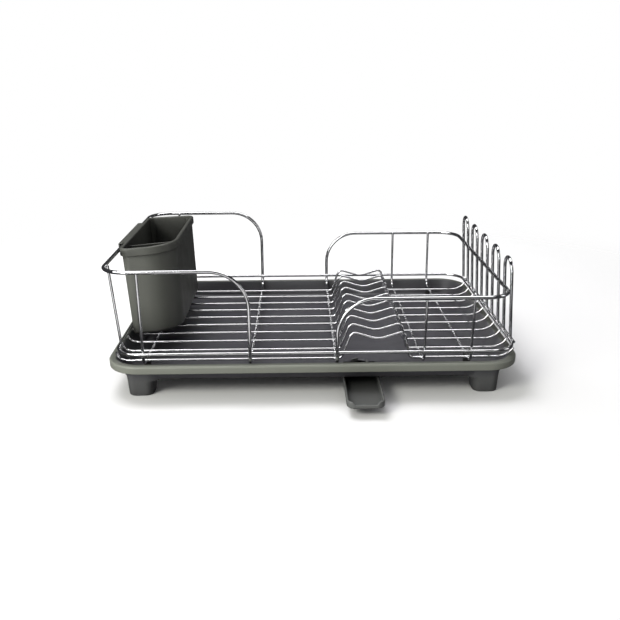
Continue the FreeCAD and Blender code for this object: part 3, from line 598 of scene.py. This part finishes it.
# %% Shape of a foot
FOOT_INSET_X, FOOT_INSET_Y = 24 * MM, 13.5 * MM
FOOT_LENGTH, FOOT_DEPTH = 29 * MM, 30 * MM
FOOT_ROUND = 9 * MM
FOOT_DRAFT = math.tan(math.radians(4))
FOOT_WALL = 2.5 * MM
FILLET = 7 * MM
FILLET_LEVELS = 8
CAP_INSETS = (0, 1.5, 3, 4.5, 6, 7.5, 9)
SLOPE_FOOT = 18.5 * MM
SLOPE = 1.25

foot_section = [
    (FOOT_WALL + 6 * MM, FLOOR_UNDER + 0.6 * MM, 0),
    (FOOT_WALL, FLOOR_UNDER - 2.5 * MM, 2 * MM),
    (FOOT_WALL, 0, 0.8 * MM),
    (0, 0, 1.4 * MM),
    (-FOOT_DRAFT * RIM_LOW, RIM_LOW - 1 * MM, 0),
]


def tray_inset(x, y):
    """How far a spot lies in from the tray's outline."""
    past_x = abs(x - tray_middle.x) - (half_length - TRAY_CORNER)
    past_y = abs(y - tray_middle.y) - (half_width - TRAY_CORNER)
    past = math.hypot(max(past_x, 0), max(past_y, 0)) + min(max(past_x, past_y), 0)
    return TRAY_CORNER - past


def foot_ring(side_x, side_y, inset, z):
    """One level of a foot, which flares under the floor and ends inside the tray's wall."""
    x_far = half_length - FOOT_INSET_X - inset
    x_near = half_length - FOOT_INSET_X - FOOT_LENGTH + inset
    y_far = half_width - FOOT_INSET_Y - inset
    y_near = half_width - FOOT_INSET_Y - FOOT_DEPTH + inset
    r = max(FOOT_ROUND - inset, 1 * MM)
    corners = [(x_near, y_near, r), (x_far, y_near, r), (x_far, y_far, r), (x_near, y_far, r)]
    rise = min(max(z - (FLOOR_UNDER - FILLET), 0) / FILLET, 1)
    flare = FILLET * (1 - math.sqrt(1 - rise * rise)) if inset <= 0 else 0
    ring = []
    for p in outline(corners, steps=8):
        along_x = min(max((x_near + r - p.x) / r, 0), 1)
        along_y = min(max((y_near + r - p.y) / r, 0), 1)
        p = p - Vector((along_x, along_y)) * flare
        x, y = side_x * p.x + tray_middle.x, side_y * p.y + tray_middle.y
        in_wall = FLOOR_UNDER + 1.4 * MM + SLOPE * max(SLOPE_FOOT - tray_inset(x, y), 0)
        ring.append(Vector((x, y, min(z, in_wall))))
    return ring


def foot_levels():
    """The section's points, with extra levels where the foot flares and a closed top."""
    points = [tuple(p) for p in outline(foot_section, closed=False, steps=5)]
    inner, outer = points[:-1], points[-1]
    last = inner[-1]
    for k in range(1, FILLET_LEVELS + 1):
        z = FLOOR_UNDER - FILLET + FILLET * math.sin(math.pi / 2 * k / FILLET_LEVELS)
        share = (z - last[1]) / (outer[1] - last[1])
        inner.append((last[0] + (outer[0] - last[0]) * share, z))
    cap = [(inset * MM, outer[1]) for inset in CAP_INSETS]
    return inner + [outer] + cap


print("a foot has", len(foot_levels()), "levels")

# %% The tray's feet
feet = []
for side_x in (-1, 1):
    for side_y in (-1, 1):
        foot = bmesh.new()
        rings = skin(foot, [foot_ring(side_x, side_y, i, z) for i, z in foot_levels()])
        fill_between(foot, rings[0])
        fill_between(foot, rings[-1])
        feet.append(new_piece("foot", foot, tray_plastic))
join_solids(drip_tray, feet)
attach(drip_tray, "tray")
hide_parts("drip_tray")
print("tray faces with its feet:", len(drip_tray.data.polygons))

# %% [markdown]
# ### Painted light on the rim
#
# The rim and its band are painted a lighter grey, a painted light that stands in for the
# lamps' light on them, and the skirt below gets a little painted light against the shade
# under the rim. How much is stored at each point of the mesh, where the plastic's material
# reads it, so the painted light keeps to the piece however it is turned.

# %% The rim's painted light
SKIRT_PAINTED_LIGHT = 0.3
SKIRT_INSET = 26 * MM
RIM_LIGHT_FAR, RIM_LIGHT_FADE = 8.6 * MM, 1.4 * MM


def rim_painted_light(point):
    """Painted light: most over the rim and band, and a little on the skirt below."""
    inset = tray_inset(point.x, point.y)
    if point.z < RIM_LOW - 1 * MM:
        return SKIRT_PAINTED_LIGHT if inset < SKIRT_INSET and point.z < FLOOR_TOP - 0.5 * MM else 0
    return min(max((RIM_LIGHT_FAR - inset) / RIM_LIGHT_FADE, 0), 1)


# the painted light is stored at each point of the tray's mesh
painted_light = drip_tray.data.attributes.new("painted_light", "FLOAT", "POINT")
for k, vert in enumerate(drip_tray.data.vertices):
    painted_light.data[k].value = rim_painted_light(vert.co)
print("points stored:", len(painted_light.data))

# %% [markdown]
# ## The swivel spout
#
# The spout is a shallow trough with a round head. The head turns under the drain hole, and
# the water runs down the trough and over a low lip at its tip. Its plan is a keyhole: the
# head's circle runs into the trough's sides. The wall is lower at the lip, so the height
# of each point depends on where it stands.

# %% Plan of the spout
SPOUT_HALF = 21 * MM
HEAD_RADIUS = 24 * MM
SPOUT_WALL = 2 * MM
TIP_ROUND, TIP_STEPS = 9 * MM, 10
HEAD_STEPS = 36
LIP_HALF, LIP_FADE = 11.5 * MM, 4 * MM
spout_tip = spout_low.y - pivot.y
spout_under = spout_low.z
spout_bed = spout_under + SPOUT_WALL
wall_top = FLOOR_UNDER - 0.3 * MM
lip_top = spout_bed + 2.5 * MM


def spout_plan(inset, z):
    """The keyhole plan at one level, drawn in by an inset, with the low lip at the tip."""
    half, head = SPOUT_HALF - inset, HEAD_RADIUS - inset
    corner = max(TIP_ROUND - inset, 1 * MM)
    tip = spout_tip + inset
    left, right = Vector((-half, tip)), Vector((half, tip))
    flat = bend(Vector((-half, 0)), left, right, corner, TIP_STEPS)
    flat += bend(left, right, Vector((half, 0)), corner, TIP_STEPS)
    start = math.acos(half / head)
    for k in range(HEAD_STEPS + 1):
        angle = -start + (math.pi + 2 * start) * k / HEAD_STEPS
        flat.append(Vector((head * math.cos(angle), head * math.sin(angle))))
    ring = []
    for p in flat:
        aside = min(max((abs(p.x) - LIP_HALF) / LIP_FADE, 0), 1)
        near_tip = p.y < spout_tip + 6 * MM
        lowered = (1 - aside * aside * (3 - 2 * aside)) if near_tip else 0
        rise = max(z - spout_bed, 0) / (wall_top - spout_bed)
        drop = lowered * rise * (wall_top - lip_top)
        ring.append(Vector((pivot.x + p.x, pivot.y + p.y, z - drop)))
    return ring


print("the spout reaches", round(-spout_tip / MM), "mm from its pivot")

# %% The spout's trough
trough_section = outline([
    (7 * MM, spout_bed, 0),
    (SPOUT_WALL, spout_bed, 1.6 * MM),
    (SPOUT_WALL, wall_top, 0.8 * MM),
    (0, wall_top, 0.8 * MM),
    (0, spout_under, 1.6 * MM),
    (7 * MM, spout_under, 0),
], closed=False, steps=5)
trough = bmesh.new()
trough_rings = skin(trough, [spout_plan(inset, z) for inset, z in trough_section])
fill_between(trough, trough_rings[0])
fill_between(trough, trough_rings[-1])
swivel_spout = new_piece("spout_trough", trough, spout_plastic)
print("spout faces:", len(swivel_spout.data.polygons))

# %% [markdown]
# ### Snap legs
#
# Three springy legs stand on the spout's bed round the hole. Each is a sector of a thin
# collar with a barb at its top. Pushed through the hole they bend in, and the barbs then
# spread over the hole's edge, so that the spout can turn but not fall out.

# %% The spout's snap legs
LEG_SECTOR = math.radians(50)
LEG_SLICES = 12
leg_outer = HOLE_RADIUS - 0.3 * MM
leg_inner = leg_outer - 2 * MM
ledge = FLOOR_TOP + 0.3 * MM
barb_top = ledge + 2 * MM
leg_section = outline([
    (leg_inner, spout_bed - 1 * MM, 0),
    (leg_outer, spout_bed - 1 * MM, 0),
    (leg_outer, ledge, 0.3 * MM),
    (leg_outer + 1.5 * MM, ledge, 0.35 * MM),
    (leg_outer + 0.3 * MM, barb_top, 0.8 * MM),
    (leg_inner, barb_top, 0.5 * MM),
], steps=3)
legs = []
for number in range(3):
    leg = bmesh.new()
    middle = number * 2 * math.pi / 3
    slices = []
    for k in range(LEG_SLICES + 1):
        angle = middle + LEG_SECTOR * (k / LEG_SLICES - 0.5)
        c, s = math.cos(angle), math.sin(angle)
        slices.append([Vector((pivot.x + r * c, pivot.y + r * s, z)) for r, z in leg_section])
    ends = skin(leg, slices)
    fill_between(leg, ends[0])
    fill_between(leg, ends[-1])
    legs.append(new_piece("snap_leg", leg, spout_plastic))
join_solids(swivel_spout, legs)
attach(swivel_spout, "spout")
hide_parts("swivel_spout")
print("spout faces with its legs:", len(swivel_spout.data.polygons))

# %% [markdown]
# ## The utensil cup
#
# The cup is one moulding: a wall that draws in a little towards the bottom so that it
# leaves the mould, a thick collar round its mouth, a slanting divider, drain slots and a
# hook. It hangs on the end wire of the tall hoop and leans against the rack's ring. It is
# drawn upright about that wire and then turned, as the real one is made upright and hung.

# %% Where the cup hangs
hoop_low, hoop_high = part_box("left_hoop")
ring_low, ring_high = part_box("base_ring")
HOOP_WIRE, RING_WIRE = 4.4 * MM, 3.8 * MM
wire_x = hoop_low.x + HOOP_WIRE / 2
wire_z = hoop_high.z - HOOP_WIRE / 2
middle_y = (hoop_low.y + hoop_high.y) / 2
ring_z = (ring_low.z + ring_high.z) / 2
CUP_TOP, CUP_LOW = 4.8 * MM, -107 * MM
CUP_LEFT, CUP_DEPTH = 4.95 * MM, 63 * MM
CUP_FRONT, CUP_REAR = -78 * MM, 112 * MM
CUP_DRAFT, CUP_WALL = 1.5 * MM, 2.2 * MM
LEAN_GAP = 0.9 * MM
drop = wire_z - ring_z
wall_there = CUP_LEFT + CUP_DRAFT * drop / (CUP_TOP - CUP_LOW)
lean = math.atan((ring_low.x + RING_WIRE - wire_x + LEAN_GAP - wall_there) / drop)
hang = Matrix.Translation((wire_x, middle_y, wire_z)) @ Matrix.Rotation(-lean, 4, "Y")
print("the cup leans by", round(math.degrees(lean), 2), "degrees")

# %% [markdown]
# ### The cup's shell and slots
#
# The shell is swept like the tray's: one section, run round one plan. The plan's front
# right corner is a very wide bend, which makes the slanting front. The slots are holes
# with round ends in the floor, filled round like the tray's drain hole.

# %% Plan and section of the cup
CORNER_BEND, FRONT_BEND = 9 * MM, 42 * MM
FRONT_SLANT = 7 * MM
CORNER_STEPS, FRONT_STEPS = 9, 26


def cup_plan(inset, z):
    """The cup's plan: square behind, with a slanting and widely bent front."""
    left, right = CUP_LEFT + inset, CUP_LEFT + CUP_DEPTH - inset
    front, rear = CUP_FRONT + inset, CUP_REAR - inset
    small = max(CORNER_BEND - inset, 1.5 * MM)
    corners = [
        (left, front, small, CORNER_STEPS),
        (right, front + FRONT_SLANT, FRONT_BEND - inset, FRONT_STEPS),
        (right, rear, small, CORNER_STEPS),
        (left, rear, small, CORNER_STEPS),
    ]
    return [Vector((p.x, p.y, z)) for p in outline(corners)]


COLLAR = 2.4 * MM
COLLAR_LOW = CUP_TOP - 10 * MM
CUP_RING = 12 * MM
cup_floor = CUP_LOW + CUP_WALL
cup_section = outline([
    (CUP_RING, cup_floor, 0),
    (CUP_DRAFT + CUP_WALL, cup_floor, 4.5 * MM),
    (CUP_WALL, CUP_TOP, 1.4 * MM),
    (-COLLAR, CUP_TOP, 1.9 * MM),
    (-COLLAR, COLLAR_LOW, 1.2 * MM),
    (0.14 * MM, COLLAR_LOW, 0.9 * MM),
    (CUP_DRAFT, CUP_LOW, 4.5 * MM),
    (CUP_RING, CUP_LOW, 0),
], closed=False, steps=6)
print("the cup's section has", len(cup_section), "points")

# %% The cup's shell
SLOTS = 6
SLOT_HALF_LENGTH, SLOT_HALF_WIDTH = 11 * MM, 2 * MM
slot_first, slot_last = CUP_REAR - 22 * MM, CUP_FRONT + 62 * MM
slot_x = CUP_LEFT + CUP_DEPTH / 2


def slot_ring(number, z):
    """A drain slot with round ends, at one level of the floor."""
    y = slot_first + (slot_last - slot_first) * number / (SLOTS - 1)
    x0, x1 = slot_x - SLOT_HALF_LENGTH, slot_x + SLOT_HALF_LENGTH
    y0, y1 = y - SLOT_HALF_WIDTH, y + SLOT_HALF_WIDTH
    r = SLOT_HALF_WIDTH - 0.1 * MM
    flat = outline([(x0, y0, r), (x1, y0, r), (x1, y1, r), (x0, y1, r)], steps=4)
    return [Vector((p.x, p.y, z)) for p in flat]


cup = bmesh.new()
cup_rings = skin(cup, [cup_plan(inset, z) for inset, z in cup_section])
upper, lower = [], []
for number in range(SLOTS):
    through = skin(cup, [slot_ring(number, cup_floor), slot_ring(number, CUP_LOW)])
    upper.append(through[0])
    lower.append(through[1])
fill_between(cup, cup_rings[0], *upper)
fill_between(cup, cup_rings[-1], *lower)
utensil_cup = new_piece("utensil_cup_shell", cup, cup_plastic)
print("cup faces:", len(utensil_cup.data.polygons))

# %% [markdown]
# ### Divider and hook
#
# The divider is a thin wall with a rounded top. The hook is a strip that leaves the
# collar, passes over the wire and turns down behind it.

# %% The cup's divider
divider_top = CUP_TOP - 6 * MM
divider_front = CUP_FRONT + 41 * MM
DIVIDER_SWEEP = 12 * MM
edge = CUP_DRAFT + CUP_WALL / 2
in_floor = CUP_LOW + CUP_WALL / 2
divider_section = outline([
    (0, in_floor, 0),
    (CUP_WALL, in_floor, 0),
    (CUP_WALL, divider_top, 1 * MM),
    (0, divider_top, 1 * MM),
], steps=4)
divider = bmesh.new()
stations = []
for share in (0, 1):
    x = CUP_LEFT + edge + (CUP_DEPTH - 2 * edge) * share
    y = divider_front + DIVIDER_SWEEP * share
    stations.append([Vector((x, y + aside, z)) for aside, z in divider_section])
ends = skin(divider, stations)
fill_between(divider, ends[0])
fill_between(divider, ends[-1])
print("the divider slants by", round(DIVIDER_SWEEP / MM), "mm")

# %% The cup's hook
HOOK_WALL, HOOK_WIDTH = 2 * MM, 120 * MM
hook_over = HOOP_WIRE / 2 + 0.6 * MM
hook_tip = CUP_TOP - 9 * MM
hook_section = outline([
    (CUP_LEFT, hook_over, 0),
    (-hook_over, hook_over, 0.8 * MM),
    (-hook_over, hook_tip, 0.7 * MM),
    (-hook_over - HOOK_WALL, hook_tip, 0.9 * MM),
    (-hook_over - HOOK_WALL, CUP_TOP, 2.2 * MM),
    (CUP_LEFT, CUP_TOP - 0.02 * MM, 0),
], steps=5)
hook = bmesh.new()
hook_middle = (CUP_FRONT + CUP_REAR) / 2
sides = [hook_middle - HOOK_WIDTH / 2, hook_middle + HOOK_WIDTH / 2]
ends = skin(hook, [[Vector((x, y, z)) for x, z in hook_section] for y in sides])
fill_between(hook, ends[0])
fill_between(hook, ends[-1])
end_edges = [e for ring in ends for e in edges_round(hook, ring)]
bmesh.ops.bevel(hook, geom=end_edges, offset=0.6 * MM, segments=3, affect="EDGES")
others = [new_piece("divider", divider, cup_plastic), new_piece("hook", hook, cup_plastic)]
join_solids(utensil_cup, others)
utensil_cup.data.transform(hang)
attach(utensil_cup, "cup")
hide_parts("utensil_cup")
print("cup faces with divider and hook:", len(utensil_cup.data.polygons))

# %% [markdown]
# ## The studio floor
#
# The floor is plain and pale, and takes the rack's soft shadow. Far out it fades to clear,
# so that no horizon shows where it ends. It could be curved up behind the object instead,
# but a fade looks the same from every side. Reflections don't see it: chrome over a white
# floor would be white all over, and would lose its dark lines.

# %% Floor
REACH = 1.2
FADE_NEAR, FADE_FAR = 0.50, 0.95
floor_mesh = bpy.data.meshes.new("studio_floor")
floor_corners = [(-REACH, -REACH, 0), (REACH, -REACH, 0), (REACH, REACH, 0), (-REACH, REACH, 0)]
floor_mesh.from_pydata(floor_corners, [], [(0, 1, 2, 3)])
floor = bpy.data.objects.new("studio_floor", floor_mesh)
bpy.context.scene.collection.objects.link(floor)
floor.visible_glossy = False

floor_paint, paint = new_finish("pale_floor")
paint.inputs["Base Color"].default_value = (0.9, 0.9, 0.9, 1)
paint.inputs["Roughness"].default_value = 0.9
paint.inputs["Specular IOR Level"].default_value = 0.1
floor_mesh.materials.append(floor_paint)
nodes, links = floor_paint.node_tree.nodes, floor_paint.node_tree.links
place = nodes.new("ShaderNodeTexCoord")
distance = nodes.new("ShaderNodeVectorMath")
distance.operation = "LENGTH"
fade = nodes.new("ShaderNodeMapRange")
fade.interpolation_type = "SMOOTHSTEP"
fade.inputs["From Min"].default_value = FADE_NEAR
fade.inputs["From Max"].default_value = FADE_FAR
clear = nodes.new("ShaderNodeBsdfTransparent")
blend = nodes.new("ShaderNodeMixShader")
links.new(place.outputs["Object"], distance.inputs[0])
links.new(distance.outputs["Value"], fade.inputs["Value"])
links.new(fade.outputs["Result"], blend.inputs["Fac"])
links.new(paint.outputs["BSDF"], blend.inputs[1])
links.new(clear.outputs["BSDF"], blend.inputs[2])
links.new(blend.outputs["Shader"], nodes["Material Output"].inputs["Surface"])
print("the floor fades from", FADE_NEAR, "to", FADE_FAR, "m")

# %% [markdown]
# ## The world
#
# The world is white behind the object, a middle grey as a light from all round, and nearly
# black in reflections, like a dark room behind the lamps. Three backgrounds do that, mixed
# by the kind of ray that asks.

# %% World
AROUND, ROOM = 0.46, (0.045, 0.045, 0.048)
world = bpy.data.worlds.new("studio")
bpy.context.scene.world = world
world.use_nodes = True
nodes, links = world.node_tree.nodes, world.node_tree.links
path = nodes.new("ShaderNodeLightPath")
seen_by = nodes["Background"]
seen_by.inputs["Color"].default_value = (AROUND, AROUND, AROUND, 1)
for kind, colour in (("Is Glossy Ray", ROOM), ("Is Camera Ray", (1, 1, 1))):
    other = nodes.new("ShaderNodeBackground")
    other.inputs["Color"].default_value = (*colour, 1)
    mix = nodes.new("ShaderNodeMixShader")
    links.new(path.outputs[kind], mix.inputs["Fac"])
    links.new(seen_by.outputs[0], mix.inputs[1])
    links.new(other.outputs[0], mix.inputs[2])
    seen_by = mix
links.new(seen_by.outputs[0], nodes["World Output"].inputs["Surface"])
bpy.context.scene.view_settings.view_transform = "Standard"
print("light from all round:", AROUND)

# %% [markdown]
# ## Lamps
#
# A large soft lamp hangs behind and above, so that the shadow falls a little forwards, and
# another stands at the front left. A low fill lights the upright faces. It would also wash
# the shadow out of the floor, so it is linked to the rack's own pieces alone.

# %% Lamps
MIDDLE = (0, 0.02, 0.05)


def facing(place, target):
    """The rotation that turns a lamp or a card at a place towards a target."""
    return (Vector(target) - Vector(place)).to_track_quat("-Z", "Y").to_euler()


def soft_light(name, place, target, width, height, power, tint=(1, 1, 1)):
    """A rectangular softbox that faces a target."""
    data = bpy.data.lights.new(name, "AREA")
    data.shape = "RECTANGLE"
    data.size, data.size_y = width, height
    data.energy = power
    data.color = tint
    light = bpy.data.objects.new(name, data)
    bpy.context.scene.collection.objects.link(light)
    light.location = place
    light.rotation_euler = facing(place, target)
    light.visible_glossy = False
    return light


soft_light("top", (-0.45, 0.60, 1.5), MIDDLE, 1.1, 0.9, 22, (0.98, 0.97, 1.0))
soft_light("front_left", (-1.3, -1.3, 1.25), MIDDLE, 0.9, 0.6, 24, (1.0, 1.0, 0.92))
fill = soft_light("fill_low", (-1.15, -1.2, 0.22), MIDDLE, 1.0, 0.4, 30, (1.0, 1.0, 0.97))
lit_pieces = bpy.data.collections.new("lit_by_the_fill")
for piece in bpy.context.scene.objects:
    if piece.type == "MESH" and piece is not floor:
        lit_pieces.objects.link(piece)
fill.light_linking.receiver_collection = lit_pieces

# %% [markdown]
# ## Cards for the chrome
#
# In a studio, white cards stand round a chromed thing only to draw light lines along it.
# These cards glow, and only reflections see them, so they can be placed for the wires alone
# and leave the plastic's shading as it is. The one under the floor stands for the white
# table in front of the rack.

# %% Reflecting cards
def reflector(name, place, target, width, height, brightness):
    """A bright card that only the reflections see."""
    data = bpy.data.meshes.new(name)
    x, y = width / 2, height / 2
    data.from_pydata([(-x, -y, 0), (x, -y, 0), (x, y, 0), (-x, y, 0)], [], [(0, 1, 2, 3)])
    card = bpy.data.objects.new(name, data)
    bpy.context.scene.collection.objects.link(card)
    card.location = place
    card.rotation_euler = facing(place, target)
    paper = bpy.data.materials.new(name)
    paper.use_nodes = True
    nodes, links = paper.node_tree.nodes, paper.node_tree.links
    glow = nodes.new("ShaderNodeEmission")
    glow.inputs["Strength"].default_value = brightness
    links.new(glow.outputs[0], nodes["Material Output"].inputs["Surface"])
    data.materials.append(paper)
    card.visible_camera = card.visible_diffuse = card.visible_shadow = False
    return card


TABLE = Vector((-0.28, -0.80, -0.03))
cards = [
    reflector("card_left", (-1.3, -1.2, 1.0), MIDDLE, 1.3, 0.9, 5.0),
    reflector("card_top", (0.0, 0.2, 1.6), MIDDLE, 1.8, 0.65, 5.5),
    reflector("card_front_low", (0.2, -1.6, 0.25), MIDDLE, 2.2, 0.25, 1.3),
    reflector("card_front_tall", (-0.75, -1.6, 0.6), MIDDLE, 0.35, 1.4, 7.0),
    reflector("card_right", (1.6, -0.2, 0.6), MIDDLE, 0.4, 1.0, 2.0),
    reflector("card_floor", TABLE, TABLE + Vector((0, 0, 1.03)), 0.85, 0.8, 0.95),
]
print(len(cards), "cards")

# %% [markdown]
# ## The camera
#
# The camera stands in front of the rack, about a metre away and a little above it, and
# looks down by 18 degrees.

# %% Camera
EYE = Vector((-0.01537, -0.94825, 0.37260))
YAW, PITCH, ROLL = math.radians(0.82), math.radians(-18.39), math.radians(-0.35)
LENS, SENSOR = 43.98, 36
camera_data = bpy.data.cameras.new("camera")
camera_data.lens = LENS
camera_data.sensor_width = SENSOR
camera = bpy.data.objects.new("camera", camera_data)
bpy.context.scene.collection.objects.link(camera)
bpy.context.scene.camera = camera
aim = Matrix.Rotation(-YAW, 4, "Z") @ Matrix.Rotation(math.pi / 2 + PITCH, 4, "X")
camera.matrix_world = Matrix.Translation(EYE) @ aim @ Matrix.Rotation(ROLL, 4, "Z")
print("the camera is", round(EYE.length, 2), "m from the middle of the floor")
